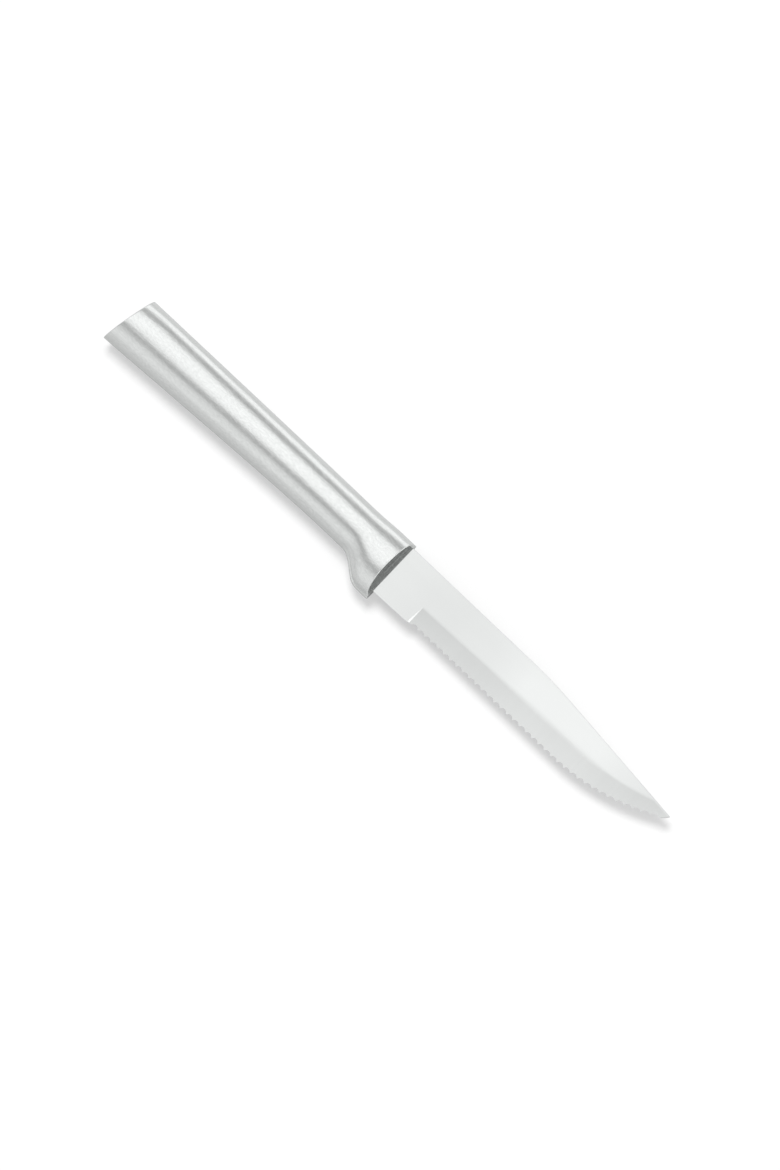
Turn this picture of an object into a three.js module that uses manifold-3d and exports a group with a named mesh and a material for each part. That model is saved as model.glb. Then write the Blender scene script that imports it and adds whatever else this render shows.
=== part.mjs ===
// A serrated steak knife lying on its side: a stamped steel blade whose tang is cast into a solid
// aluminium handle. Millimetres. +X runs from the butt to the tip, +Y from the cutting edge to the spine
// and +Z up, square to the blade's flat. The pieces are drawn with x = 0 where the blade leaves the handle,
// y = 0 on the blade's spine and z = 0 in the middle of its thickness. The last section then sets the
// origin on the table under the middle of the knife.
import * as THREE from "three";
import { mergeVertices } from "three/addons/utils/BufferGeometryUtils.js";
import Module from "manifold-3d";

// Blade blank
const bladeLength = 97.5; // from the front of the handle to the tip
const bladeThickness = 1.3;
const heelHeight = 15.15; // where the blade leaves the handle
const ricassoLength = 11.85; // unground steel between the handle and the bevel
const ricassoTaper = 0.25; // how much lower the ricasso is at its front end
const edgeStep = 0.55; // the straight cutting edge stands this far above the heel
const bellyLength = 33.5; // curved stretch of the edge, back from the tip
const tipRound = 2.4; // short stretch at the tip where the edge turns up more steeply
const tipRise = 1; // what that stretch adds to the rise of the edge
const tipDrop = 4.65; // depth of the tip below the spine
const clipLength = 47.5; // falling stretch of the spine, back from the tip
const clipBlend = 7; // length of the soft bend where it starts, to each side

// Hollow-ground bevel, the same on both sides
const heelBevel = 5.24; // height of the bevel at the ricasso
const bellyBevel = 6.44; // where the belly starts
const tipBevel = 3.7; // at the tip
const bevelFade = 1.5; // power of the fall between those two: a higher one holds the bevel up longer
const edgeThickness = 0.45; // steel left at the line of the teeth, up to the belly
const hollowDepth = 0.01; // sag of the hollow below a flat bevel
const plungeRun = 0.6; // length of the slope where the wheel enters the steel

// Teeth, ground from the lower side
const toothPitch = 2.29;
const toothLand = 0.16; // flat left on the point of each tooth
const gulletDepth = 0.8; // on the upper side, where the gap between two teeth is shallowest
const gulletTilt = THREE.MathUtils.degToRad(50); // lean of the grinding from square to the blade
const firstGullet = 1.92; // from the end of the plunge to the middle of the first gap
const lastGullet = 2.6; // least distance from the middle of the last gap to the tip

// Tang, inside the handle
const shoulderSet = 1.7; // the blade's full height ends this far behind the flat of the guard
const tangEndWall = 32; // solid metal between the tang and the butt
const tangWall = 2.4; // cast metal above and below the tang at the neck
const keyPitch = 20; // spacing of the holes that the casting flows through
const keyHoleRadius = 2.1;
const tangClearance = 0.25;

// Handle
const handleLength = 98.5; // from its front to the lower corner of the butt
const neckDepth = 12.6; // underside of the neck below the blade's spine
const neckSetback = 20; // from the front to where the taper towards the butt starts
const neckSoftness = 20; // length over which that taper eases in
const buttDepth = 15.65; // lower corner of the butt below the blade's spine
const buttFall = 0.35; // fall of the handle's top at the butt
const spineCover = 0.6; // top of the handle above the blade's spine
const frontFlare = 0.3; // further rise of the top at the front
const guardDrop = 2.7; // finger guard below the heel of the blade
const guardFlat = 3.3; // straight stretch of the guard, back from the front
const guardRun = 11.7; // length over which the guard swells out of the neck
const neckThickness = 10.7;
const endThickness = 12; // at the butt and at the front, so that the knife lies level
const buttCrest = 0.2; // broadest line of the section above the middle of its height, at the butt
const frontDraft = THREE.MathUtils.degToRad(13.3); // lean of the front faces, back from the blade's plane
const buttDraft = THREE.MathUtils.degToRad(7.7); // the same at the butt
const buttSlant = THREE.MathUtils.degToRad(12); // lean of the butt, seen from the side

// Roundness of the handle's section: a higher power squares the form, and one near 1 draws it to a ridge
const sideRound = 2.05; // across the broad sides
const spineRound = 2.55; // at the top of the neck
const buttSpineRound = 3.2; // at the top towards the butt
const buttEndRound = 1.9; // at the top of the butt's very end
const buttEndRun = 11; // last stretch of the handle, along which the top grows rounder
const buttEndEase = 1.5; // power of that change: a higher one keeps it nearer to the end
const frontSpineRound = 3.2; // at the top of the front
const underRound = 1.8; // at the underside
const guardUnderRound = 1.55; // at the underside of the guard

// Finishes
const steel = { color: 0xdfe2e1, roughness: 0.22, metalness: 1 };
const aluminium = { color: 0xd3d6d5, roughness: 0.38, metalness: 1 };

// Fineness of the curved surfaces
const handleStep = 4;
const guardStep = 0.9;
const handleSides = 40;
const bevelStep = 2.4;
const bevelRows = 4;
const arcSegments = 24;
const beyond = 2; // how far a cutting form runs past what it cuts

const wasm = await Module();
wasm.setup();

// A closed geometry as a solid that can be joined and cut.
function solidOf(geometry) {
  const bare = geometry.clone();
  bare.deleteAttribute("normal");
  bare.deleteAttribute("uv");
  const merged = mergeVertices(bare);
  const triVerts = new Uint32Array(merged.index.array);
  return new wasm.Manifold(
    new wasm.Mesh({ numProp: 3, vertProperties: merged.attributes.position.array, triVerts }),
  );
}

// A solid as a geometry that can be drawn.
function geometryOf(solid) {
  const { vertProperties, triVerts } = solid.getMesh();
  const geometry = new THREE.BufferGeometry();
  geometry.setAttribute("position", new THREE.BufferAttribute(vertProperties, 3));
  geometry.setIndex(new THREE.BufferAttribute(triVerts, 1));
  geometry.computeVertexNormals();
  return geometry;
}

// A closed skin over rings of points, each ring convex and drawn the same way round.
function loft(rings) {
  const count = rings[0].length;
  const last = (rings.length - 1) * count;
  const index = [];
  for (let r = 0; r + 1 < rings.length; r++) {
    for (let k = 0; k < count; k++) {
      const here = r * count + k;
      const next = r * count + ((k + 1) % count);
      index.push(here, next, here + count, next, next + count, here + count);
    }
  }
  for (let k = 1; k + 1 < count; k++) {
    index.push(0, k + 1, k, last, last + k, last + k + 1);
  }
  const geometry = new THREE.BufferGeometry().setFromPoints(rings.flat());
  geometry.setIndex(index);
  return geometry;
}

// A flat shape made into a plate with its middle at z = 0.
function plate(shape, thickness) {
  const geometry = new THREE.ExtrudeGeometry(shape, {
    depth: thickness,
    bevelEnabled: false,
    curveSegments: arcSegments,
  });
  return geometry.translate(0, 0, -thickness / 2);
}

// Evenly spaced places from start to end, no further apart than step.
function places(start, end, step) {
  const count = Math.ceil((end - start) / step);
  return Array.from({ length: count + 1 }, (_, k) => start + ((end - start) * k) / count);
}

// Outline of the blade

const plungeEnd = ricassoLength + plungeRun;
const bellyStart = bladeLength - bellyLength;
const clipStart = bladeLength - clipLength;
const toothLine = heelHeight - edgeStep;
const bellyRise = toothLine - tipDrop - tipRise;
const bellyRadius = (bellyLength ** 2 + bellyRise ** 2) / (2 * bellyRise);
const bellyCentre = new THREE.Vector2(bellyStart, bellyRadius - toothLine);
const tipStart = bladeLength - tipRound;
const tipStartAngle = Math.asin((tipStart - bellyStart) / bellyRadius);
const tipStartY = bellyCentre.y - bellyRadius * Math.cos(tipStartAngle);
const tipSteepness = Math.tan(tipStartAngle);
const tipTurn = -tipDrop - tipStartY - tipSteepness * tipRound; // rise past the tangent where the belly ends

// The cutting edge is straight, then an arc, and at the tip a short parabola.
function edgeAt(x) {
  const along = Math.min(Math.max(bellyStart, x), tipStart) - bellyStart;
  const run = Math.max(0, x - tipStart);
  const arc = bellyCentre.y - Math.sqrt(bellyRadius ** 2 - along ** 2);
  return arc + tipSteepness * run + tipTurn * (run / tipRound) ** 2;
}

function edgeSlopeAt(x) {
  const along = Math.min(Math.max(bellyStart, x), tipStart) - bellyStart;
  const run = Math.max(0, x - tipStart);
  return Math.atan(Math.tan(Math.asin(along / bellyRadius)) + (2 * tipTurn * run) / tipRound ** 2);
}

function bevelHeightAt(x) {
  const straight = (x - ricassoLength) / (bellyStart - ricassoLength);
  const curved = (x - bellyStart) / bellyLength;
  return x < bellyStart
    ? THREE.MathUtils.lerp(heelBevel, bellyBevel, straight)
    : THREE.MathUtils.lerp(bellyBevel, tipBevel, curved ** bevelFade);
}

// Half the steel left at the line of the teeth. The bevel keeps its angle along the belly, so a lower bevel
// leaves more.
function edgeHalfAt(x) {
  const depth = (bladeThickness - edgeThickness) / 2;
  return bladeThickness / 2 - depth * (x < bellyStart ? 1 : bevelHeightAt(x) / bellyBevel);
}

const shoulderDepth = guardFlat + shoulderSet;
const tangLength = handleLength - tangEndWall;
const neckMiddle = (spineCover - neckDepth) / 2;
const tangHalf = (spineCover + neckDepth) / 2 - tangWall;

// The tang's outline from the blade's lower shoulder round to its upper one, grown outwards by grow.
function traceTang(path, grow) {
  const shoulder = -shoulderDepth - grow;
  const half = tangHalf + grow;
  path.lineTo(shoulder, -heelHeight - grow);
  path.lineTo(shoulder, neckMiddle - half);
  path.absarc(tangHalf - tangLength, neckMiddle, half, -Math.PI / 2, Math.PI / 2, true);
  path.lineTo(shoulder, neckMiddle + half);
  path.lineTo(shoulder, grow);
}

// The holes in the tang, evenly spaced about its middle and shrunk by grow.
function keyHolePaths(grow) {
  const count = Math.floor((tangLength - shoulderDepth) / keyPitch);
  const middle = -(tangLength + shoulderDepth) / 2;
  return Array.from({ length: count }, (_, k) => {
    const x = middle + (k - (count - 1) / 2) * keyPitch;
    return new THREE.Path().absarc(x, neckMiddle, keyHoleRadius - grow, 0, 2 * Math.PI);
  });
}

// The part of the blank in front of the handle.
function bladeShape() {
  const clipSlope = tipDrop / clipLength;
  const tipControlY = tipStartY + (tipSteepness * tipRound) / 2;
  const shape = new THREE.Shape();
  shape.moveTo(0, 0);
  shape.lineTo(clipStart - clipBlend, 0);
  shape.quadraticCurveTo(clipStart, 0, clipStart + clipBlend, -clipSlope * clipBlend);
  shape.lineTo(bladeLength, -tipDrop);
  shape.quadraticCurveTo(tipStart + tipRound / 2, tipControlY, tipStart, tipStartY);
  shape.absarc(bellyCentre.x, bellyCentre.y, bellyRadius, tipStartAngle - Math.PI / 2, -Math.PI / 2, true);
  shape.lineTo(plungeEnd, -toothLine);
  shape.lineTo(ricassoLength, ricassoTaper - heelHeight);
  shape.lineTo(0, -heelHeight);
  return shape;
}

// The part inside the handle.
function tangShape() {
  const shape = new THREE.Shape();
  shape.moveTo(0, 0);
  shape.lineTo(0, -heelHeight);
  traceTang(shape, 0);
  shape.holes = keyHolePaths(0);
  return shape;
}

// Grinding of the blade

// What the wheel takes off one side, as sections from the ricasso to past the tip. Side is 1 for the
// upper side and -1 for the lower one. Entered runs from 0 where the wheel touches the steel to 1 where it
// is in.
function bevelCutter(side) {
  const flat = bladeThickness / 2;
  const section = (x, entered) => {
    const edge = edgeAt(x);
    const height = bevelHeightAt(x);
    const thin = edgeHalfAt(x);
    const lift = (1 - entered) * (flat - thin);
    const ring = [];
    for (let row = bevelRows; row >= 0; row--) {
      const up = row / bevelRows;
      const sag = 4 * hollowDepth * up * (1 - up);
      ring.push([edge + up * height, thin + (flat - thin) * up - sag]);
    }
    ring.push([edge - beyond, thin / 2], [edge - beyond, flat + beyond], [edge + height, flat + beyond]);
    const turned = side > 0 ? ring.reverse() : ring;
    return turned.map(([y, z]) => new THREE.Vector3(x, y, side * (z + lift)));
  };
  const stations = [
    ...places(plungeEnd, tipStart, bevelStep),
    ...places(tipStart, bladeLength + beyond, tipRound / 2).slice(1),
  ];
  const ground = stations.map((x) => section(x, 1));
  return solidOf(loft([section(ricassoLength, 0), ...ground]));
}

// One tooth gap, ground by a round wheel that leans in from the lower side.
function gulletCutter(x) {
  const slope = edgeSlopeAt(x);
  const half = (toothPitch - toothLand) / 2 / Math.cos(slope);
  const depth = gulletDepth * Math.cos(gulletTilt);
  const radius = (half ** 2 + depth ** 2) / (2 * depth);
  const rise = gulletDepth + Math.tan(gulletTilt) * edgeHalfAt(x);
  const geometry = new THREE.CylinderGeometry(radius, radius, 2 * heelHeight, arcSegments);
  geometry.rotateX(gulletTilt - Math.PI / 2);
  geometry.translate(0, rise - radius / Math.cos(gulletTilt), 0);
  geometry.rotateZ(slope);
  geometry.translate(x, edgeAt(x), 0);
  return solidOf(geometry);
}

function bladeSolid() {
  const gullets = [];
  for (let x = plungeEnd + firstGullet; x < bladeLength - lastGullet; x += toothPitch) {
    gullets.push(gulletCutter(x));
  }
  const blank = solidOf(plate(bladeShape(), bladeThickness));
  const ground = blank.subtract(bevelCutter(1)).subtract(bevelCutter(-1));
  const serrated = ground.subtract(wasm.Manifold.union(gullets));
  return serrated.add(solidOf(plate(tangShape(), bladeThickness)));
}

// Form of the handle

// From 0 at the neck to 1 at the lower corner of the butt, easing in at the neck.
function taperAt(x) {
  const ease = (run) => Math.hypot(run, neckSoftness) - neckSoftness;
  return ease(Math.max(0, -neckSetback - x)) / ease(handleLength - neckSetback);
}

const guardStart = -guardFlat - guardRun;

// From 0 behind the finger guard to 1 on its straight stretch.
function guardAt(x) {
  return THREE.MathUtils.smootherstep(x, guardStart, -guardFlat);
}

function handleTopAt(x) {
  return spineCover - buttFall * taperAt(x) + frontFlare * guardAt(x);
}

function handleBottomAt(x) {
  const guardDepth = heelHeight + guardDrop;
  return -neckDepth - (buttDepth - neckDepth) * taperAt(x) - (guardDepth - neckDepth) * guardAt(x);
}

function handleHalfThicknessAt(x) {
  return (neckThickness + (endThickness - neckThickness) * (taperAt(x) + guardAt(x))) / 2;
}

// Height of the section's broadest line.
function handleCrestAt(x) {
  return (handleTopAt(x) + handleBottomAt(x)) / 2 + buttCrest * taperAt(x);
}

// From 0 before the last stretch of the handle to 1 at the lower corner of the butt.
function buttEndAt(x) {
  return (Math.max(0, buttEndRun - handleLength - x) / buttEndRun) ** buttEndEase;
}

// The handle's outline at x, as one ring of points from the top round to the top again.
function handleSection(x) {
  const top = handleTopAt(x);
  const bottom = handleBottomAt(x);
  const crest = handleCrestAt(x);
  const half = handleHalfThicknessAt(x);
  const spine =
    spineRound + (buttSpineRound - spineRound) * taperAt(x) + (frontSpineRound - spineRound) * guardAt(x);
  const above = THREE.MathUtils.lerp(spine, buttEndRound, buttEndAt(x));
  const below = THREE.MathUtils.lerp(underRound, guardUnderRound, guardAt(x));
  return Array.from({ length: handleSides }, (_, k) => {
    const angle = (2 * Math.PI * k) / handleSides;
    const up = Math.sign(Math.cos(angle)) * Math.abs(Math.cos(angle)) ** (2 / sideRound);
    const out = Math.sign(Math.sin(angle)) * Math.abs(Math.sin(angle)) ** (2 / (up > 0 ? above : below));
    const y = crest + up * (up > 0 ? top - crest : crest - bottom);
    return new THREE.Vector3(x, y, out * half);
  });
}

// What is cut off past an end of the handle: two faces that lean back from a ridge in the blade's plane.
// The ridge stands on the Y axis and the waste lies towards +X.
function endCutter(draft) {
  const reach = endThickness / 2 + beyond;
  const span = heelHeight + guardDrop + buttDepth + beyond;
  const depth = span * Math.tan(buttSlant) + beyond;
  const shape = new THREE.Shape();
  shape.moveTo(0, 0);
  shape.lineTo(-reach * Math.tan(draft), reach);
  shape.lineTo(depth, reach);
  shape.lineTo(depth, -reach);
  shape.lineTo(-reach * Math.tan(draft), -reach);
  return plate(shape, 2 * span).rotateX(Math.PI / 2);
}

// The pocket that the tang and the shoulders of the blade fill, open at the front.
function tangPocket() {
  const shape = new THREE.Shape();
  shape.moveTo(beyond, tangClearance);
  shape.lineTo(beyond, -heelHeight - tangClearance);
  traceTang(shape, tangClearance);
  shape.holes = keyHolePaths(tangClearance);
  return solidOf(plate(shape, bladeThickness + 2 * tangClearance));
}

function handleSolid() {
  const stations = [
    ...places(-handleLength - beyond, guardStart, handleStep),
    ...places(guardStart, -guardFlat, guardStep).slice(1),
    ...places(-guardFlat, beyond, handleStep).slice(1),
  ];
  const casting = solidOf(loft(stations.map(handleSection)));
  const front = endCutter(frontDraft);
  const butt = endCutter(buttDraft).rotateZ(Math.PI - buttSlant);
  butt.translate(-handleLength, handleBottomAt(-handleLength), 0);
  return casting.subtract(solidOf(front)).subtract(solidOf(butt)).subtract(tangPocket());
}

// Assembly

function piece(name, solid, finish) {
  const mesh = new THREE.Mesh(geometryOf(solid), new THREE.MeshStandardMaterial(finish));
  mesh.name = name;
  return mesh;
}

const blade = piece("blade", bladeSolid(), steel);
const handle = piece("handle", handleSolid(), aluminium);
const pieces = new THREE.Group().add(blade, handle);

const box = new THREE.Box3().setFromObject(pieces);
const middle = box.getCenter(new THREE.Vector3());
pieces.position.set(-middle.x, -middle.y, -box.min.z);

const knife = new THREE.Group().add(pieces);
export default knife;
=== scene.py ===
# Looks of a serrated steak knife that lies on its side: a steel blade and a satin aluminium handle.
# The sizes of its forms are those of the part's source, and those with a note are the scene's own. They
# are in millimetres and become metres where a mesh is made. The drawing's x = 0 is where the blade leaves
# the handle, y = 0 is the blade's spine and z = 0 is the middle of its thickness.
import math

import bmesh
import bpy
import numpy as np
from mathutils import Matrix, Vector


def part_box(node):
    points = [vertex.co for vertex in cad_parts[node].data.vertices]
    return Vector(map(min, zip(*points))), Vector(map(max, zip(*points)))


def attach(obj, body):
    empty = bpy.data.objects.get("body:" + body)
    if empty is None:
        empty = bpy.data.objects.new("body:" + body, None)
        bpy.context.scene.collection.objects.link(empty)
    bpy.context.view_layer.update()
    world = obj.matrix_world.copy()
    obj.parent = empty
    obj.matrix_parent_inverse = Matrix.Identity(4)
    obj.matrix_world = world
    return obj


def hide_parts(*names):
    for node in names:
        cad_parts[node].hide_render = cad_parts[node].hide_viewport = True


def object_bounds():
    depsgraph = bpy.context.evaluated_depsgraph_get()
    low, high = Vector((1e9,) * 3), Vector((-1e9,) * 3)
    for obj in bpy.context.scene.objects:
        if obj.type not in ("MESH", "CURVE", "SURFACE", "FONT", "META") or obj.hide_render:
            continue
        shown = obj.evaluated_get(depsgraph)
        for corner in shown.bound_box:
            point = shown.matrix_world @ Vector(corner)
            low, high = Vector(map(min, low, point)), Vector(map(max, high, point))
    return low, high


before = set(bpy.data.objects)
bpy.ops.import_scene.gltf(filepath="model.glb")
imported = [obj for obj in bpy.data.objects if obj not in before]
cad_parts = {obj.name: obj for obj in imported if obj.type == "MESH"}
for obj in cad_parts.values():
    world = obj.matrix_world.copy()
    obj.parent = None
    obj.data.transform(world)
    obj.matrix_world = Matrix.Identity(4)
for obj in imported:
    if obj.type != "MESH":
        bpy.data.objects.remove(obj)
cad_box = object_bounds()
blade_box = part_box("blade")
MM = 0.001

# Blade blank
BLADE_LENGTH = 97.5
BLADE_THICKNESS = 1.3
HEEL_HEIGHT = 15.15
RICASSO_LENGTH = 11.85
RICASSO_TAPER = 0.25
EDGE_STEP = 0.55
BELLY_LENGTH = 33.5
TIP_ROUND = 2.4
TIP_RISE = 1
TIP_DROP = 4.65
CLIP_LENGTH = 47.5
CLIP_BLEND = 7
SPINE_RADIUS = 0.12  # rounding of the plate's cut edges
TIP_BLUNT = 0.06  # the point stops this far short of a perfect one

# Hollow-ground bevel
HEEL_BEVEL = 5.24
BELLY_BEVEL = 6.44
TIP_BEVEL = 3.7
BEVEL_FADE = 1.5
EDGE_THICKNESS = 0.45
HOLLOW_DEPTH = 0.01
PLUNGE_RUN = 0.6
# Softness of the line between the flat and the bevel, to each side, at places along the blade
GRIND_BLEND = [(12, 0.35), (35, 0.4), (50, 1), (70, 1), (80, 0.45), (97, 0.3)]

# Teeth, ground from the lower side
TOOTH_PITCH = 2.29
TOOTH_LAND = 0.16
GULLET_DEPTH = 0.8
GULLET_TILT = math.radians(50)
FIRST_GULLET = 1.92
LAST_GULLET = 2.6

# Tang
SHOULDER_SET = 1.7
SHOULDER_LEAN = 0.03  # the shoulders' faces lean by this much, within the clearance
TANG_END_WALL = 32
TANG_WALL = 2.4
KEY_PITCH = 20
KEY_HOLE_RADIUS = 2.1
TANG_CLEARANCE = 0.04  # the casting grips the tang, so the joint hardly shows

# Handle
HANDLE_LENGTH = 98.5
NECK_DEPTH = 12.6
NECK_SETBACK = 20
NECK_SOFTNESS = 20
BUTT_DEPTH = 15.65
BUTT_FALL = 0.35
SPINE_COVER = 0.6
FRONT_FLARE = 0.3
GUARD_DROP = 2.7
GUARD_FLAT = 3.3
GUARD_RUN = 11.7
NECK_THICKNESS = 10.7
END_THICKNESS = 12
BUTT_CREST = 0.2
FRONT_DRAFT = math.radians(13.3)
BUTT_DRAFT = math.radians(7.7)
BUTT_SLANT = math.radians(12)
SIDE_ROUND = 2.05
SPINE_ROUND = 2.55
BUTT_SPINE_ROUND = 3.2
BUTT_END_ROUND = 1.9
BUTT_END_RUN = 11
BUTT_END_EASE = 1.5
FRONT_SPINE_ROUND = 3.2
UNDER_ROUND = 1.8
GUARD_UNDER_ROUND = 1.55
RIM_RADIUS = 0.32  # softened rims of the front and the butt
LIP_HEIGHT = 0.82  # lip along the guard's underside, up to the middle of the groove above it
LIP_GROOVE = 0.65  # depth of that groove
LIP_SPREAD = 0.36  # half its breadth
LIP_RUN = 5  # length over which the lip comes up at the back of the guard

# Fineness of the meshes
HANDLE_SIDES = 144
HANDLE_STEP = 1.2
GUARD_STEP = 0.24
BUTT_ZONE = 6  # length at the butt that the rings of its end share out
END_STEPS = 8
RIM_STEPS = 8
RIM_HOLD = 0.08  # a ring this far inside the rim keeps the rounding in its place
CAP_STEPS = 6
RIDGE_INSET = 0.25  # share of an end's depth by which its ridge stops short of the rim
TOOTH_COLUMNS = 20
PLAIN_STEP = 1
PLUNGE_COLUMNS = 10
TANG_STEP = 2
TANG_END_COLUMNS = 14
TANG_END_TURN = 0.1  # where the rings of the tang's round end start, in radians from its point
FACET_ROWS = 5
BEVEL_ROWS = 8
FLAT_ROWS = 3
ROUND_ROWS = 4
HOLE_SIDES = 48
POCKET_OVERRUN = 2  # the tool that cuts the tang's pocket reaches this far out of the handle
WELD = 1e-4  # points that are closer than this become one
BLADE_CRISP = math.radians(30)  # edges that turn by more than this stay crisp
HANDLE_CRISP = math.radians(24)
HALVINGS = 40  # steps that find where the tooth grinding passes a side of the blade
END_ROUNDS = 30  # steps that find where the handle's sides meet an end

ORIGIN = np.array((
    blade_box[1].x / MM - BLADE_LENGTH,
    blade_box[1].y / MM,
    (blade_box[0].z + blade_box[1].z) / 2 / MM,
))
FLAT = BLADE_THICKNESS / 2
PLUNGE_END = RICASSO_LENGTH + PLUNGE_RUN
BELLY_START = BLADE_LENGTH - BELLY_LENGTH
CLIP_START = BLADE_LENGTH - CLIP_LENGTH
TOOTH_LINE = HEEL_HEIGHT - EDGE_STEP
BELLY_RISE = TOOTH_LINE - TIP_DROP - TIP_RISE
BELLY_RADIUS = (BELLY_LENGTH**2 + BELLY_RISE**2) / (2 * BELLY_RISE)
TIP_START = BLADE_LENGTH - TIP_ROUND
TIP_START_ANGLE = math.asin((TIP_START - BELLY_START) / BELLY_RADIUS)
TIP_STEEPNESS = math.tan(TIP_START_ANGLE)
TIP_START_Y = BELLY_RADIUS * (1 - math.cos(TIP_START_ANGLE)) - TOOTH_LINE
TIP_TURN = -TIP_DROP - TIP_START_Y - TIP_STEEPNESS * TIP_ROUND
SHOULDER_DEPTH = GUARD_FLAT + SHOULDER_SET
TANG_LENGTH = HANDLE_LENGTH - TANG_END_WALL
NECK_MIDDLE = (SPINE_COVER - NECK_DEPTH) / 2
TANG_HALF = (SPINE_COVER + NECK_DEPTH) / 2 - TANG_WALL
TANG_END = TANG_HALF - TANG_LENGTH
GUARD_START = -GUARD_FLAT - GUARD_RUN


def lerp(a, b, t):
    return a + (b - a) * t


def spread(start, end, step):
    """Evenly spaced places from start to end, no further apart than step."""
    return np.linspace(start, end, math.ceil((end - start) / step) + 1)


# Outline and grinding of the blade


def edge_at(x):
    """The cutting edge is straight, then an arc, and at the tip a short parabola."""
    along = min(max(BELLY_START, x), TIP_START) - BELLY_START
    run = max(0, x - TIP_START)
    arc = BELLY_RADIUS - TOOTH_LINE - math.sqrt(BELLY_RADIUS**2 - along**2)
    return arc + TIP_STEEPNESS * run + TIP_TURN * (run / TIP_ROUND) ** 2


def edge_slope_at(x):
    """Angle of that edge to the knife's length."""
    along = min(max(BELLY_START, x), TIP_START) - BELLY_START
    run = max(0, x - TIP_START)
    return math.atan(math.tan(math.asin(along / BELLY_RADIUS)) + 2 * TIP_TURN * run / TIP_ROUND**2)


def spine_at(x):
    """The spine is straight and then drops to the tip, with a soft bend between."""
    slope = TIP_DROP / CLIP_LENGTH
    run = x - CLIP_START
    if run < -CLIP_BLEND:
        return 0
    if run < CLIP_BLEND:
        return -slope * (run + CLIP_BLEND) ** 2 / (4 * CLIP_BLEND)
    return -slope * run


def bottom_at(x):
    """Lower edge of the plate before the teeth are ground."""
    if x < 0:
        return -HEEL_HEIGHT
    if x < RICASSO_LENGTH:
        return -HEEL_HEIGHT + RICASSO_TAPER * x / RICASSO_LENGTH
    if x < PLUNGE_END:
        return lerp(-HEEL_HEIGHT + RICASSO_TAPER, -TOOTH_LINE, (x - RICASSO_LENGTH) / PLUNGE_RUN)
    return edge_at(x)


def bevel_height_at(x):
    """Height of the bevel above the line of the teeth."""
    if x < BELLY_START:
        return lerp(HEEL_BEVEL, BELLY_BEVEL, (x - RICASSO_LENGTH) / (BELLY_START - RICASSO_LENGTH))
    return lerp(BELLY_BEVEL, TIP_BEVEL, ((x - BELLY_START) / BELLY_LENGTH) ** BEVEL_FADE)


def edge_half_at(x):
    """Half the steel left at the line of the teeth. The bevel keeps its angle along the belly."""
    depth = (BLADE_THICKNESS - EDGE_THICKNESS) / 2
    return FLAT - depth * (1 if x < BELLY_START else bevel_height_at(x) / BELLY_BEVEL)


def ground_half(x, y):
    """Half the blade's thickness at a point, before the teeth are ground."""
    if x <= RICASSO_LENGTH:
        return FLAT
    thin = edge_half_at(x)
    up = (y - edge_at(x)) / bevel_height_at(x)
    lift = (FLAT - thin) * max(0, PLUNGE_END - x) / PLUNGE_RUN
    sag = 4 * HOLLOW_DEPTH * max(0, up) * (1 - up)
    return min(FLAT, thin + (FLAT - thin) * up - sag + lift)


def grind_line_at(x):
    """Height at which the bevel meets the flat, or the outline where there is no flat."""
    if x <= RICASSO_LENGTH:
        return bottom_at(x)
    drop = FLAT - edge_half_at(x)
    entered = min(1, (x - RICASSO_LENGTH) / PLUNGE_RUN)
    lean = drop - 4 * HOLLOW_DEPTH
    up = (math.sqrt(lean**2 + 16 * HOLLOW_DEPTH * drop * entered) - lean) / (8 * HOLLOW_DEPTH)
    return min(edge_at(x) + up * bevel_height_at(x), spine_at(x))


def blend_at(x):
    """Half the breadth of the soft line between flat and bevel."""
    return np.interp(x, *zip(*GRIND_BLEND))


def gullet_places():
    """Middles of the gaps between the teeth."""
    first = PLUNGE_END + FIRST_GULLET
    count = math.ceil((BLADE_LENGTH - LAST_GULLET - first) / TOOTH_PITCH)
    return [first + i * TOOTH_PITCH for i in range(count)]


GULLETS = gullet_places()


def gullet_floor(x, y):
    """Height of the leaning grinding at a point: the steel above it is gone."""
    lowest = math.inf
    for place in GULLETS:
        if abs(x - place) > 2 * TOOTH_PITCH:
            continue
        slope = edge_slope_at(place)
        half = (TOOTH_PITCH - TOOTH_LAND) / 2 / math.cos(slope)
        depth = GULLET_DEPTH * math.cos(GULLET_TILT)
        radius = (half**2 + depth**2) / (2 * depth)
        rise = GULLET_DEPTH + math.tan(GULLET_TILT) * edge_half_at(place)
        dx = x - place
        dy = y - edge_at(place)
        along = dx * math.cos(slope) + dy * math.sin(slope)
        above = dy * math.cos(slope) - dx * math.sin(slope)
        if abs(along) < radius:
            sag = radius - math.sqrt(radius**2 - along**2)
            lowest = min(lowest, (above - rise) / math.tan(GULLET_TILT) + sag / math.sin(GULLET_TILT))
    return lowest


def meeting(x, start, end, side):
    """Height at which the grinding of the teeth passes one side of the blade."""
    if gullet_floor(x, start) > side * ground_half(x, start):
        return start
    for _ in range(HALVINGS):
        middle = (start + end) / 2
        if gullet_floor(x, middle) < side * ground_half(x, middle):
            start = middle
        else:
            end = middle
    return end


def quarter_round(y, z, radius, sign_y, sign_z):
    """Points round a corner, from the face that looks along z to the one that looks along y."""
    turns = np.linspace(0, math.pi / 2, ROUND_ROWS + 1)
    return [
        (y - sign_y * radius * (1 - math.sin(t)), z - sign_z * radius * (1 - math.cos(t))) for t in turns
    ]


def bevel_heights(x, low, high):
    """Rows of points up the bevel, with one close below the line where it meets the flat."""
    blend = min(blend_at(x), (high - low) / 2)
    return [*np.linspace(low, high - blend, BEVEL_ROWS), high]


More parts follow.
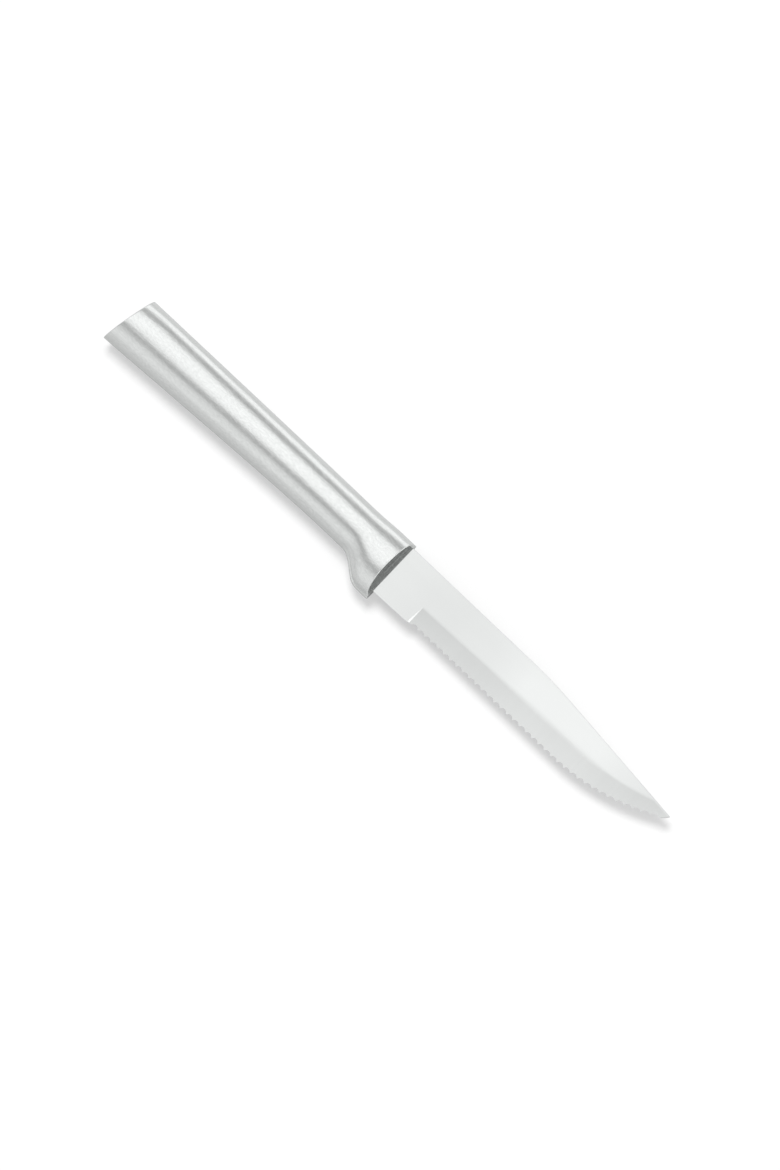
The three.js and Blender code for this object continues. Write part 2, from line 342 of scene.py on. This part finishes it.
def blade_ring(x, bottom, top):
    """One section of the blade, from its cutting edge over the spine and back. It is drawn with the side
    that the teeth are ground from upwards, and turned over at the end."""
    ground = grind_line_at(x) if x > RICASSO_LENGTH else bottom
    has_teeth = x > PLUNGE_END
    edge = meeting(x, bottom, top, -1) if has_teeth else bottom
    crest = meeting(x, edge, top, 1) if has_teeth else bottom
    radius = min(SPINE_RADIUS, (top - crest) / 4)
    flat_top = top - 2 * radius
    grind = max(crest, min(ground, flat_top))
    flat_heights = np.linspace(grind + min(blend_at(x), (flat_top - grind) / 2), flat_top, FLAT_ROWS)
    half = ground_half(x, flat_top)
    edge_half = ground_half(x, edge)
    step = min(gullet_floor(x, edge), edge_half) if has_teeth else edge_half
    ring = [(edge, -edge_half)]
    for t in np.linspace(0, 1, FACET_ROWS):
        y = lerp(edge, crest, t)
        z = min(gullet_floor(x, y), ground_half(x, y)) if crest > edge else lerp(-edge_half, step, t)
        ring.append((y, z))
    for y in bevel_heights(x, crest, grind)[1:]:
        ring.append((y, ground_half(x, y)))
    for y in flat_heights:
        ring.append((y, ground_half(x, y)))
    ring += quarter_round(top, half, radius, 1, 1)
    ring += quarter_round(top, -half, radius, 1, -1)[::-1]
    for y in flat_heights[::-1]:
        ring.append((y, -ground_half(x, y)))
    for y in bevel_heights(x, edge, grind)[:0:-1]:
        ring.append((y, -ground_half(x, y)))
    return [(x, y, -z) for y, z in ring]


def blade_rings():
    """Sections from the end of the tang to the tip, close together along the teeth."""
    rings = []
    for turn in np.linspace(TANG_END_TURN, math.pi / 2, TANG_END_COLUMNS):
        reach = TANG_HALF * math.sin(turn)
        x = TANG_END - TANG_HALF * math.cos(turn)
        rings.append(blade_ring(x, NECK_MIDDLE - reach, NECK_MIDDLE + reach))
    for x in spread(TANG_END, -SHOULDER_DEPTH - SHOULDER_LEAN, TANG_STEP)[1:]:
        rings.append(blade_ring(x, NECK_MIDDLE - TANG_HALF, NECK_MIDDLE + TANG_HALF))
    columns = list(spread(-SHOULDER_DEPTH, 0, PLAIN_STEP))
    columns += list(spread(0, RICASSO_LENGTH, PLAIN_STEP)[1:])
    columns += list(np.linspace(RICASSO_LENGTH, PLUNGE_END, PLUNGE_COLUMNS)[1:])
    start = GULLETS[0] - TOOTH_PITCH / 2
    end = GULLETS[-1] + TOOTH_PITCH / 2
    fine = TOOTH_PITCH / TOOTH_COLUMNS
    columns += list(spread(PLUNGE_END, start, fine)[1:])
    columns += list(np.linspace(start, end, len(GULLETS) * TOOTH_COLUMNS + 1)[1:])
    columns += list(spread(end, BLADE_LENGTH - TIP_BLUNT, fine)[1:])
    rings += [blade_ring(x, bottom_at(x), spine_at(x)) for x in columns]
    return rings


# Form of the handle


def taper_at(x):
    """How far the handle has grown behind its neck: 0 at the neck and 1 at the butt."""

    def ease(run):
        return np.hypot(run, NECK_SOFTNESS) - NECK_SOFTNESS

    return ease(np.maximum(0, -NECK_SETBACK - x)) / ease(HANDLE_LENGTH - NECK_SETBACK)


def guard_at(x):
    """A smooth step from 0 behind the guard to 1 at its flat."""
    t = np.clip((x - GUARD_START) / GUARD_RUN, 0, 1)
    return t**3 * (t * (6 * t - 15) + 10)


def handle_top_at(x):
    return SPINE_COVER - BUTT_FALL * taper_at(x) + FRONT_FLARE * guard_at(x)


def handle_bottom_at(x):
    guard_depth = HEEL_HEIGHT + GUARD_DROP
    return (
        -NECK_DEPTH
        - (BUTT_DEPTH - NECK_DEPTH) * taper_at(x)
        - (guard_depth - NECK_DEPTH) * guard_at(x)
    )


def butt_end_at(x):
    """How far the section has turned into that of the butt's end."""
    return (np.maximum(0, BUTT_END_RUN - HANDLE_LENGTH - x) / BUTT_END_RUN) ** BUTT_END_EASE


def lip_groove(x, above):
    """Depth of the groove over the guard's lip, at a height above the underside."""
    slope = (handle_bottom_at(x + LIP_SPREAD) - handle_bottom_at(x - LIP_SPREAD)) / (2 * LIP_SPREAD)
    off = (above / np.hypot(1, slope) - LIP_HEIGHT) / LIP_SPREAD
    return LIP_GROOVE * np.clip((x - GUARD_START) / LIP_RUN, 0, 1) * np.exp(-(off**2))


def handle_point(x, angle):
    """The handle's surface at x, where angle turns from the top round to the top again."""
    guard = guard_at(x)
    taper = taper_at(x)
    top = handle_top_at(x)
    bottom = handle_bottom_at(x)
    crest = (top + bottom) / 2 + BUTT_CREST * taper
    half = (NECK_THICKNESS + (END_THICKNESS - NECK_THICKNESS) * (taper + guard)) / 2
    cos, sin = np.cos(angle), np.sin(angle)
    spine = SPINE_ROUND + (BUTT_SPINE_ROUND - SPINE_ROUND) * taper + (FRONT_SPINE_ROUND - SPINE_ROUND) * guard
    above = lerp(spine, BUTT_END_ROUND, butt_end_at(x))
    below = lerp(UNDER_ROUND, GUARD_UNDER_ROUND, guard)
    up = np.sign(cos) * np.abs(cos) ** (2 / SIDE_ROUND)
    out = np.sign(sin) * np.abs(sin) ** (2 / np.where(cos > 0, above, below))
    y = crest + up * np.where(cos > 0, top - crest, crest - bottom)
    z = out * half - np.sign(out) * lip_groove(x, y - bottom)
    return np.stack((x, y, z), -1)


def front_x(points):
    """Where the leaning front faces stand at the height and breadth of these points."""
    return -np.abs(points[:, 2]) * math.tan(FRONT_DRAFT)


def butt_x(points):
    """The same at the slanted butt."""
    low = handle_bottom_at(-HANDLE_LENGTH)
    rise = (points[:, 1] - low) * math.tan(BUTT_SLANT)
    return -HANDLE_LENGTH + rise + np.abs(points[:, 2]) * math.tan(BUTT_DRAFT) / math.cos(BUTT_SLANT)


def handle_end(angles, face_x, start, inward):
    """Rings from the sides over the softened rim and across an end to its ridge, from start outwards."""
    x = np.full(len(angles), float(start))
    for _ in range(END_ROUNDS):
        x = face_x(handle_point(x, angles))
    rim = handle_point(x, angles)
    begin = x + inward * RIM_RADIUS
    rings = [handle_point(lerp(start, begin, t), angles) for t in np.linspace(0, 1, END_STEPS + 1)[1:]]
    lowest, highest = rim[:, 1].min(), rim[:, 1].max()
    inset = RIDGE_INSET * (highest - lowest)
    ridge = rim.copy()
    ridge[:, 1] = np.clip(rim[:, 1], lowest + inset, highest - inset)
    ridge[:, 2] = 0
    ridge[:, 0] = face_x(ridge)
    ways = ridge - rim
    ways /= np.linalg.norm(ways, axis=1)[:, None]
    side = rings[-1]
    landed = rim + ways * RIM_RADIUS
    for t in np.linspace(0, 1, RIM_STEPS + 1)[1:]:
        rings.append((1 - t) ** 2 * side + 2 * t * (1 - t) * rim + t**2 * landed)
    held = landed + ways * RIM_HOLD
    rings.append(held)
    for t in np.linspace(0, 1, CAP_STEPS + 1)[1:]:
        rings.append(lerp(held, ridge, t))
    return rings


def handle_rings():
    """Rings from the butt's ridge along the sides to the ridge of the front."""
    angles = np.arange(HANDLE_SIDES) * 2 * math.pi / HANDLE_SIDES
    start = -HANDLE_LENGTH + BUTT_ZONE
    end = -GUARD_FLAT
    stations = list(spread(start, GUARD_START, HANDLE_STEP)) + list(spread(GUARD_START, end, GUARD_STEP)[1:])
    sides = [handle_point(np.full(HANDLE_SIDES, x), angles) for x in stations]
    butt = handle_end(angles, butt_x, start, 1)
    front = handle_end(angles, front_x, end, -1)
    return butt[::-1] + sides + front


# Meshes


def in_metres(point):
    return (np.asarray(point, float) + ORIGIN) * MM


def put(name, data):
    """An object of its own in the scene for a mesh, a lamp or a camera."""
    obj = bpy.data.objects.new(name, data)
    bpy.context.scene.collection.objects.link(obj)
    return obj


def mesh_from(name, bm):
    mesh = bpy.data.meshes.new(name)
    bm.to_mesh(mesh)
    bm.free()
    return mesh


def skin(name, rings, capped, materials, row_material, sharp_rows):
    """A closed mesh over rings of points. Rows of faces take one of the materials by row_material, and the
    lines of points in sharp_rows stay crisp."""
    bm = bmesh.new()
    verts = [[bm.verts.new(in_metres(p)) for p in ring] for ring in rings]
    count = len(rings[0])
    for r in range(len(rings) - 1):
        for k in range(count):
            after = (k + 1) % count
            quad = (verts[r][k], verts[r][after], verts[r + 1][after], verts[r + 1][k])
            face = bm.faces.new(quad)
            face.material_index = row_material(r, k)
            face.smooth = True
            if k in sharp_rows:
                bm.edges.get((verts[r][k], verts[r + 1][k])).smooth = False
    if capped:
        bm.faces.new(verts[0])
        bm.faces.new(verts[-1][::-1])
    bmesh.ops.remove_doubles(bm, verts=bm.verts, dist=MM * WELD)
    bmesh.ops.recalc_face_normals(bm, faces=bm.faces)
    mesh = mesh_from(name, bm)
    for material in materials:
        mesh.materials.append(material)
    return put(name, mesh)


def prism(name, outline, holes, half):
    """A flat shape with holes made into a plate, as a tool to cut with."""
    bm = bmesh.new()
    loops = []
    for path in [outline, *holes]:
        ring = [bm.verts.new(in_metres((x, y, -half))) for x, y in path]
        loops += [bm.edges.new((ring[i - 1], ring[i])) for i in range(len(ring))]
    faces = bmesh.ops.triangle_fill(bm, use_beauty=True, edges=loops)["geom"]
    faces = [f for f in faces if isinstance(f, bmesh.types.BMFace)]
    grown = bmesh.ops.extrude_face_region(bm, geom=faces)["geom"]
    lifted = [v for v in grown if isinstance(v, bmesh.types.BMVert)]
    bmesh.ops.translate(bm, verts=lifted, vec=(0, 0, 2 * half * MM))
    bmesh.ops.recalc_face_normals(bm, faces=bm.faces)
    return put(name, mesh_from(name, bm))


def crisp(obj, limit):
    """Keeps the edges crisp where two faces meet at more than the limit."""
    bm = bmesh.new()
    bm.from_mesh(obj.data)
    for edge in bm.edges:
        if edge.calc_face_angle(0) > limit:
            edge.smooth = False
    bm.to_mesh(obj.data)
    bm.free()


def cut(obj, tool):
    """Takes a tool's form out of an object, and removes the tool."""
    modifier = obj.modifiers.new("cut", "BOOLEAN")
    modifier.operation = "DIFFERENCE"
    modifier.solver = "EXACT"
    modifier.object = tool
    shown = obj.evaluated_get(bpy.context.evaluated_depsgraph_get())
    made = bpy.data.meshes.new_from_object(shown)
    obj.modifiers.clear()
    spare = obj.data
    made.name = spare.name
    obj.data = made
    bpy.data.meshes.remove(spare)
    bpy.data.objects.remove(tool)


def circle(x, y, radius):
    turns = np.arange(HOLE_SIDES) * 2 * math.pi / HOLE_SIDES
    return [(x + radius * math.cos(t), y + radius * math.sin(t)) for t in turns]


def key_places():
    """Middles of the tang's holes, which the handle's keys pass through."""
    count = math.floor((TANG_LENGTH - SHOULDER_DEPTH) / KEY_PITCH)
    middle = -(TANG_LENGTH + SHOULDER_DEPTH) / 2
    return [middle + (k - (count - 1) / 2) * KEY_PITCH for k in range(count)]


def tang_outline(grow, front):
    """The tang and the shoulders of the blade, grown outwards, up to front."""
    shoulder = -SHOULDER_DEPTH - grow
    half = TANG_HALF + grow
    turns = np.linspace(-math.pi / 2, -3 * math.pi / 2, HOLE_SIDES // 2)
    path = [(front, grow), (front, -HEEL_HEIGHT - grow), (shoulder, -HEEL_HEIGHT - grow)]
    path.append((shoulder, NECK_MIDDLE - half))
    path += [(TANG_END + half * math.cos(t), NECK_MIDDLE + half * math.sin(t)) for t in turns]
    path += [(shoulder, NECK_MIDDLE + half), (shoulder, grow)]
    return path


# Materials


def add(tree, kind, inputs=None, **settings):
    """A node with its settings, and its inputs set to a value or linked from another node's output."""
    node = tree.nodes.new(kind)
    for name, value in settings.items():
        setattr(node, name, value)
    for name, value in (inputs or {}).items():
        socket = node.inputs[name]
        if isinstance(value, bpy.types.NodeSocket):
            tree.links.new(value, socket)
        else:
            socket.default_value = value
    return node


def ramp(tree, factor, stops):
    """A colour ramp with (place, grey or colour) stops."""
    node = add(tree, "ShaderNodeValToRGB", {"Fac": factor})
    points = node.color_ramp.elements
    while len(points) < len(stops):
        points.new(0.5)
    for point, (place, value) in zip(points, stops):
        point.position = place
        point.color = (*((value,) * 3 if np.isscalar(value) else value), 1)
    return node.outputs["Color"]


def curve(tree, value, stops):
    """A colour ramp over a value, with stops at the value's own places."""
    start, end = stops[0][0], stops[-1][0]
    inputs = {"Value": value, "From Min": start, "From Max": end}
    run = add(tree, "ShaderNodeMapRange", inputs).outputs["Result"]
    return ramp(tree, run, [((place - start) / (end - start), share) for place, share in stops])


def times(tree, colour, share, factor=1.0):
    """A colour multiplied by a share, as far as the factor says."""
    inputs = {"Factor": factor, "A": colour, "B": share}
    mixed = add(tree, "ShaderNodeMix", inputs, data_type="RGBA", blend_type="MULTIPLY")
    return mixed.outputs["Result"]


def grain(tree, scale, detail=2.0, roughness=0.5):
    """Noise in the part's own metres, with so many cells per metre along each axis."""
    place = add(tree, "ShaderNodeTexCoord").outputs["Object"]
    mapped = add(tree, "ShaderNodeMapping", {"Vector": place, "Scale": scale}).outputs["Vector"]
    inputs = {"Vector": mapped, "Scale": 1.0, "Detail": detail, "Roughness": roughness}
    return add(tree, "ShaderNodeTexNoise", inputs).outputs["Fac"]


NOISE_SPAN = (0.3, 0.7)  # the part of a noise's range that colours and roughness run over


def metal(name, colours, tone, roughness, rough_by, bumps, painted_light=None):
    """A bare metal. Its colour runs between two colours over the noise tone, and its roughness between two
    values over the noise rough_by. A noise is its cells per metre along each axis, its detail and its
    roughness, and each bump is a noise, a strength and a depth in metres. Painted light is a texture
    coordinate, one of its axes, and shares of the colour at places along it, which paint shade and sheen into
    the colour."""
    material = bpy.data.materials.new(name)
    material.use_nodes = True
    tree = material.node_tree
    shader = tree.nodes["Principled BSDF"]
    shader.inputs["Metallic"].default_value = 1
    colour = ramp(tree, grain(tree, *tone), list(zip(NOISE_SPAN, colours)))
    # painted shade and sheen: the colour is darkened or brightened by shares along a coordinate
    if painted_light:
        coordinate, axis, shares = painted_light
        place = add(tree, "ShaderNodeTexCoord").outputs[coordinate]
        value = add(tree, "ShaderNodeSeparateXYZ", {"Vector": place}).outputs[axis]
        colour = times(tree, colour, curve(tree, value, shares))
    tree.links.new(colour, shader.inputs["Base Color"])
    rough = ramp(tree, grain(tree, *rough_by), list(zip(NOISE_SPAN, roughness)))
    tree.links.new(rough, shader.inputs["Roughness"])
    normal = None
    for noise, strength, depth in bumps:
        inputs = {"Height": grain(tree, *noise), "Strength": strength, "Distance": depth}
        if normal:
            inputs["Normal"] = normal
        normal = add(tree, "ShaderNodeBump", inputs).outputs["Normal"]
    tree.links.new(normal, shader.inputs["Normal"])
    return material


# Painted sheen along the blade, on its flats and its bevels: shares of the colour that brighten and darken
# their reflections stretch by stretch. Painted shade and sheen round the handle, by how far its surface faces
# the spine's side: darker where it faces down towards the edge's side, lighter where it faces the spine's
# side.
FLAT_PAINTED_SHEEN = [(0, 1), (12, 0.96), (22, 0.96), (34, 0.99), (46, 1.065), (72, 1.075), (82, 1.02), (92, 0.95)]
BEVEL_PAINTED_SHEEN = [(12, 1.02), (34, 1.03), (46, 1.075), (72, 1.09), (92, 1.0)]
HANDLE_PAINTED_SHADE_AND_SHEEN = [(-1, 0.81), (-0.9, 0.81), (-0.72, 0.95), (-0.55, 1), (0.82, 1), (0.92, 1.07), (1, 1.07)]


# painted sheen: shares of the colour at places along the blade's length
def painted_sheen_along_blade(stops):
    return "Object", "X", [(in_metres((x, 0, 0))[0], share) for x, share in stops]


satin = metal(
    "aluminium_satin",
    colours=((0.813, 0.829, 0.821), (0.91, 0.928, 0.919)),
    tone=((1100, 1900, 1900), 3.0, 0.7),
    roughness=(0.2, 0.27),
    rough_by=((500, 1500, 1500), 3.0),
    bumps=[(((250, 900, 900), 2.0), 0.9, 0.00003), (((900, 2600, 2600), 3.0, 0.6), 0.35, 0.00003)],
    # painted shade on the handle's underside and painted sheen along its top
    painted_light=("Normal", "Y", HANDLE_PAINTED_SHADE_AND_SHEEN),
)
front_face = metal(
    "aluminium_front_face",
    colours=((0.556, 0.568, 0.562), (0.953, 0.974, 0.963)),
    tone=((900, 40, 1200), 2.0, 0.6),
    roughness=(0.13, 0.18),
    rough_by=((900, 300, 900), 2.0),
    bumps=[(((900, 60, 1100), 3.0), 0.3, 0.00004)],
)
butt_face = metal(
    "aluminium_butt_face",
    colours=((0.734, 0.75, 0.742), (0.831, 0.85, 0.84)),
    tone=((900, 90, 1500), 3.0, 0.6),
    roughness=(0.24, 0.32),
    rough_by=((1200, 150, 1800), 3.0),
    bumps=[(((1200, 90, 2400), 3.0), 0.3, 0.00003)],
)
polished = metal(
    "steel_polished",
    colours=((0.789, 0.803, 0.796), (0.812, 0.826, 0.819)),
    tone=((35, 90, 90), 2.0),
    roughness=(0.14, 0.19),
    rough_by=((60, 2500, 2500), 3.0),
    bumps=[(((40, 4200, 4200), 3.0, 0.6), 0.03, 0.00001)],
    # painted sheen: brighter and darker stretches of the flats' reflections
    painted_light=painted_sheen_along_blade(FLAT_PAINTED_SHEEN),
)
hollow = metal(
    "steel_hollow_ground",
    colours=((0.784, 0.798, 0.791), (0.807, 0.821, 0.814)),
    tone=((60, 60, 60), 2.0),
    roughness=(0.18, 0.25),
    rough_by=((2600, 80, 80), 3.0),
    bumps=[(((5200, 60, 60), 3.0, 0.6), 0.04, 0.00001)],
    # painted sheen: brighter and darker stretches of the bevels' reflections, lighter towards the tip
    painted_light=painted_sheen_along_blade(BEVEL_PAINTED_SHEEN),
)
toothed = metal(
    "steel_tooth_ground",
    colours=((0.757, 0.772, 0.765), (0.797, 0.813, 0.805)),
    tone=((900, 900, 900), 2.0),
    roughness=(0.22, 0.3),
    rough_by=((2600, 400, 400), 2.0),
    bumps=[(((6000, 300, 300), 2.0), 0.06, 0.00001)],
)


# Pieces


def finish_piece(obj, node):
    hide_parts(node)
    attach(obj, "root")


# Rows of faces round a section of the blade: tooth grinding, one bevel, the flats with the spine, and the
# other bevel
FACET_END = FACET_ROWS
BEVEL_END = FACET_END + BEVEL_ROWS
UNDER_START = BEVEL_END + 2 * FLAT_ROWS + 2 * (ROUND_ROWS + 1) + 1
EDGE_LINES = {0, 1, FACET_END}  # both lines of the cutting edge, and the upper end of the tooth grinding

STEELS = [polished, hollow, toothed]
ALUMINIUMS = [satin, front_face, butt_face]


def blade_row_material(ring, row):
    if row < FACET_END:
        return STEELS.index(toothed)
    if row < BEVEL_END or row >= UNDER_START:
        return STEELS.index(hollow)
    return STEELS.index(polished)


body_rings = handle_rings()


def handle_row_material(ring, row):
    if ring <= CAP_STEPS:
        return ALUMINIUMS.index(butt_face)
    if ring >= len(body_rings) - CAP_STEPS - 2:
        return ALUMINIUMS.index(front_face)
    return ALUMINIUMS.index(satin)


blade = skin("knife_blade", blade_rings(), True, STEELS, blade_row_material, EDGE_LINES)
for place in key_places():
    cut(blade, prism("key_tool", circle(place, NECK_MIDDLE, KEY_HOLE_RADIUS), [], BLADE_THICKNESS))
crisp(blade, BLADE_CRISP)
finish_piece(blade, "blade")

handle = skin("knife_handle", body_rings, False, ALUMINIUMS, handle_row_material, set())
pocket = tang_outline(TANG_CLEARANCE, POCKET_OVERRUN)
keys = [circle(place, NECK_MIDDLE, KEY_HOLE_RADIUS - TANG_CLEARANCE) for place in key_places()]
cut(handle, prism("pocket_tool", pocket, keys, FLAT + TANG_CLEARANCE))
crisp(handle, HANDLE_CRISP)
finish_piece(handle, "handle")

# Table

TABLE_SIZE = 6  # metres
TABLE_GAP = 0.00002  # metres that the table lies below the knife
TABLE_COLOUR = (0.43, 0.43, 0.43, 1)
TABLE_GLOW = 0.4  # what the eye sees of the table besides the light on it
TABLE_GLOW_IN_METAL = 0.04
WHITE = (1, 1, 1, 1)


def table_white():
    """A matt grey that also glows for the eye, and faintly in the metal, and so is white round the shadow."""
    material = bpy.data.materials.new("table_white")
    material.use_nodes = True
    tree = material.node_tree
    tree.nodes.clear()
    path = add(tree, "ShaderNodeLightPath").outputs

    def maths(operation, *values):
        return add(tree, "ShaderNodeMath", dict(enumerate(values)), operation=operation).outputs[0]

    mirrored = maths("ADD", path["Is Glossy Ray"], path["Is Transmission Ray"])
    faint = maths("MULTIPLY", mirrored, TABLE_GLOW_IN_METAL)
    glow = maths("MULTIPLY_ADD", path["Is Camera Ray"], TABLE_GLOW, faint)
    lit = add(tree, "ShaderNodeBsdfDiffuse", {"Color": TABLE_COLOUR})
    own = add(tree, "ShaderNodeEmission", {"Color": WHITE, "Strength": glow})
    both = add(tree, "ShaderNodeAddShader", {0: lit.outputs[0], 1: own.outputs[0]})
    add(tree, "ShaderNodeOutputMaterial", {"Surface": both.outputs[0]})
    return material


plane = bmesh.new()
bmesh.ops.create_grid(plane, x_segments=1, y_segments=1, size=TABLE_SIZE / 2)
table = put("table", mesh_from("table", plane))
table.location.z = -TABLE_GAP
table.data.materials.append(table_white())

# Light: a tent of soft white panels with darker gaps between them, and a soft lamp that gives the shadow

# Light from each direction across the knife, in degrees from straight up towards the spine's side
TENT = [
    (-180, 0.6),
    (-95, 0.62),
    (-82, 0.68),
    (-70, 0.78),
    (-60, 0.83),
    (-50, 0.8),
    (-42, 0.76),
    (-35, 0.68),
    (-30, 0.5),
    (-26, 0.42),
    (-19, 0.42),
    (-14, 0.62),
    (-9, 0.86),
    (-3, 1.0),
    (4, 1.08),
    (14, 1.1),
    (26, 1.06),
    (31, 0.95),
    (36, 0.6),
    (40, 0.42),
    (51, 0.42),
    (57, 0.66),
    (64, 1.02),
    (72, 1.1),
    (86, 1.0),
    (95, 0.8),
    (180, 0.75),
]
# Share of that light along the knife: on the butt's side, and on the tip's side a gap and a bright panel
TENT_BUTT = [(-1, 0.74), (-0.78, 0.82), (-0.65, 0.9), (-0.4, 1), (1, 1)]
TENT_GAP = [(-1, 1), (0.4, 1), (0.46, 0.8), (0.5, 0.18), (0.69, 0.18), (0.75, 1), (1, 1)]
TENT_PANEL = [(-1, 1), (0.74, 1), (0.8, 1.9), (0.9, 1.9), (0.96, 1), (1, 1)]
# How much of the gap and of the panel there is, by how far the light comes from either side of the knife
GAP_BREADTH = [(-1, 0), (-0.45, 0), (-0.3, 1), (0.3, 1), (0.45, 0), (1, 0)]
PANEL_BREADTH = [(-1, 0), (-0.34, 0), (-0.2, 1), (0.2, 1), (0.34, 0), (1, 0)]

LAMP_FROM = Vector((-1.2, 1.95, 6))  # direction of the lamp
LAMP_STRENGTH = 2.55
LAMP_BREADTH = math.radians(23)


def tent():
    """The tent as a world. It knows each direction by its X and Y and by its turn across the knife."""
    world = bpy.data.worlds.new("tent")
    world.use_nodes = True
    tree = world.node_tree
    tree.nodes.clear()
    way = add(tree, "ShaderNodeTexCoord").outputs["Generated"]
    axes = add(tree, "ShaderNodeSeparateXYZ", {"Vector": way}).outputs
    turn = add(tree, "ShaderNodeMath", {0: axes["Y"], 1: axes["Z"]}, operation="ARCTAN2").outputs[0]
    light = curve(tree, turn, [(math.radians(place), share) for place, share in TENT])
    light = times(tree, light, curve(tree, axes["X"], TENT_BUTT))
    for shares, breadth in ((TENT_GAP, GAP_BREADTH), (TENT_PANEL, PANEL_BREADTH)):
        light = times(tree, light, curve(tree, axes["X"], shares), curve(tree, axes["Y"], breadth))
    sky = add(tree, "ShaderNodeBackground", {"Color": light})
    add(tree, "ShaderNodeOutputWorld", {"Surface": sky.outputs[0]})
    return world


bpy.context.scene.world = tent()
lamp = put("lamp", bpy.data.lights.new("lamp", "SUN"))
lamp.data.energy = LAMP_STRENGTH
lamp.data.angle = LAMP_BREADTH
lamp.rotation_mode = "QUATERNION"
lamp.rotation_quaternion = LAMP_FROM.to_track_quat("Z", "Y")
lamp.visible_glossy = False  # the metals don't mirror it

# Camera: above the knife, a little from the tip's side, with the knife across the frame's diagonal

CAMERA_TILT = math.radians(12)
CAMERA_ROLL = math.radians(43.52)
CAMERA_DISTANCE = 6  # metres
FRAME_HEIGHT = 0.3026  # metres that the long side of the picture spans at the knife
PICTURE_HEIGHT = 1170
KNIFE_SHIFT = (0.23, -13.25)  # pixels from the picture's middle to the knife's, to the right and down
SENSOR = 36

towards = Vector((math.sin(CAMERA_TILT), 0, math.cos(CAMERA_TILT)))
lengthwise = Vector((math.cos(CAMERA_TILT), 0, -math.sin(CAMERA_TILT)))
crosswise = Vector((0, 1, 0))
right = lengthwise * math.cos(CAMERA_ROLL) + crosswise * math.sin(CAMERA_ROLL)
upward = crosswise * math.cos(CAMERA_ROLL) - lengthwise * math.sin(CAMERA_ROLL)
pixel = FRAME_HEIGHT / PICTURE_HEIGHT
target = (cad_box[0] + cad_box[1]) / 2 - right * KNIFE_SHIFT[0] * pixel + upward * KNIFE_SHIFT[1] * pixel
camera = put("camera", bpy.data.cameras.new("camera"))
camera.data.sensor_width = SENSOR
camera.data.lens = SENSOR * CAMERA_DISTANCE / FRAME_HEIGHT
aim = Matrix((right, upward, towards)).transposed().to_4x4()
camera.matrix_world = Matrix.Translation(target + towards * CAMERA_DISTANCE) @ aim
bpy.context.scene.camera = camera
bpy.context.scene.view_settings.view_transform = "Standard"
